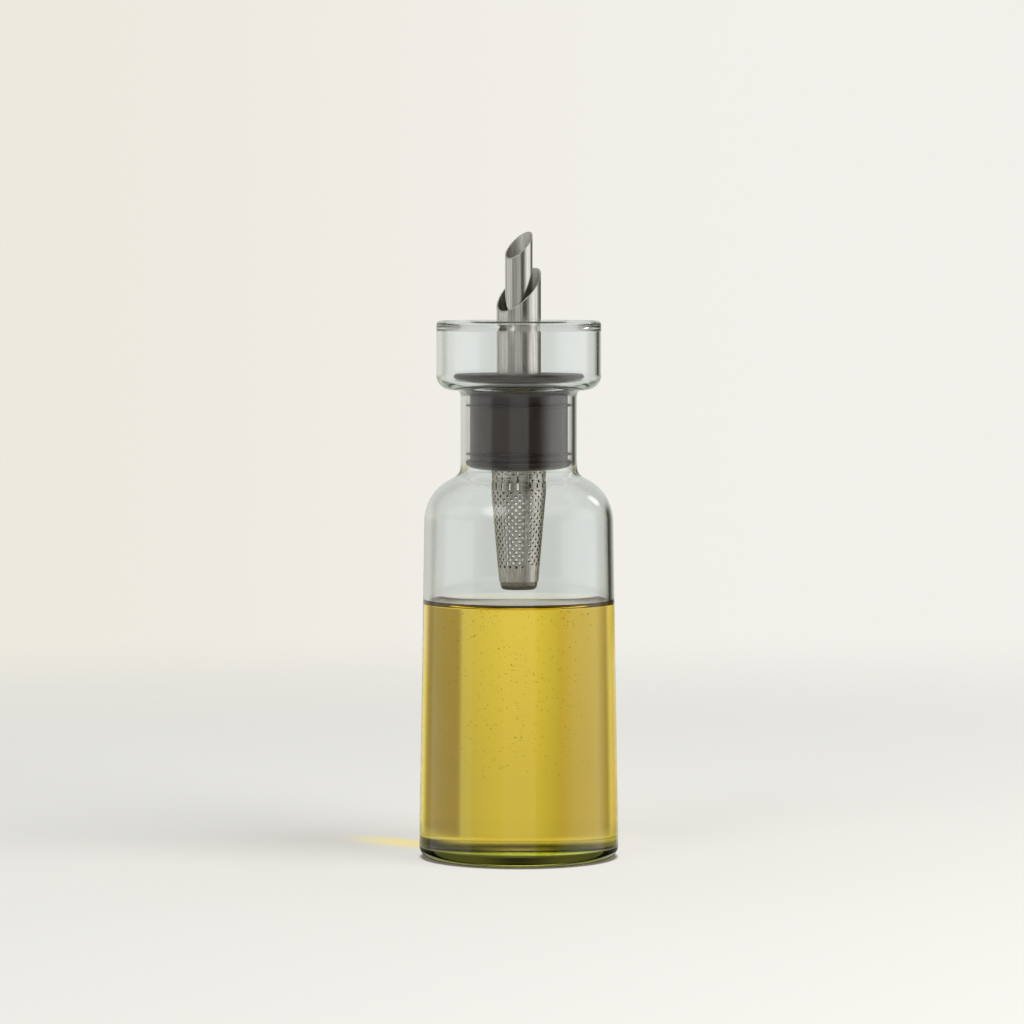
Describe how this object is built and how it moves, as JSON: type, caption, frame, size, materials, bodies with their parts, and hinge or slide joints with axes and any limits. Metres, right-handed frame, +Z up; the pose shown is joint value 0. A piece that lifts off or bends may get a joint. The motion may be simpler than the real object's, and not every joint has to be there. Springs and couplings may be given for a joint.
{
  "type": "oil dispenser",
  "caption": "Clear glass oil bottle with a drip cup round its mouth, a silicone stopper with a double slanted steel pour spout, and a perforated steel herb infuser hanging inside.",
  "frame": {"origin": "centre of the foot, on the table", "axes": "+Z up along the bottle's axis, +X the way the slanted mouths of the spout rise, towards their tips"},
  "size_m": [0.0668, 0.067, 0.21],
  "materials": {
    "glass": "clear blown glass, fire-polished rim",
    "oil": "golden green oil, clear, level surface",
    "silicone": "dark warm grey silicone, satin",
    "spout_steel": "fine brushed stainless steel",
    "infuser_steel": "etched perforated stainless sheet, satin"
  },
  "bodies": {
    "bottle": {"glass_bottle": "glass", "oil_fill": "oil"},
    "stopper": {"silicone_stopper": "silicone"},
    "spout": {"drip_return_tube": "spout_steel", "pour_tube": "spout_steel", "tube_spacer": "spout_steel"},
    "infuser": {"infuser_sieve": "infuser_steel", "infuser_end_cap": "infuser_steel"}
  },
  "joints": [
    {"name": "stopper_lift", "type": "slide", "parent": "bottle", "child": "stopper", "axis": [0, 0, 1], "range_m": [0, 0.115]},
    {"name": "spout_turn", "type": "hinge", "parent": "stopper", "child": "spout", "pos_m": [0, 0, 0.15], "axis": [0, 0, 1], "continuous": true},
    {"name": "infuser_pull", "type": "slide", "parent": "stopper", "child": "infuser", "axis": [0, 0, -1], "range_m": [0, 0.012], "deforming": ["oil_fill"]}
  ]
}
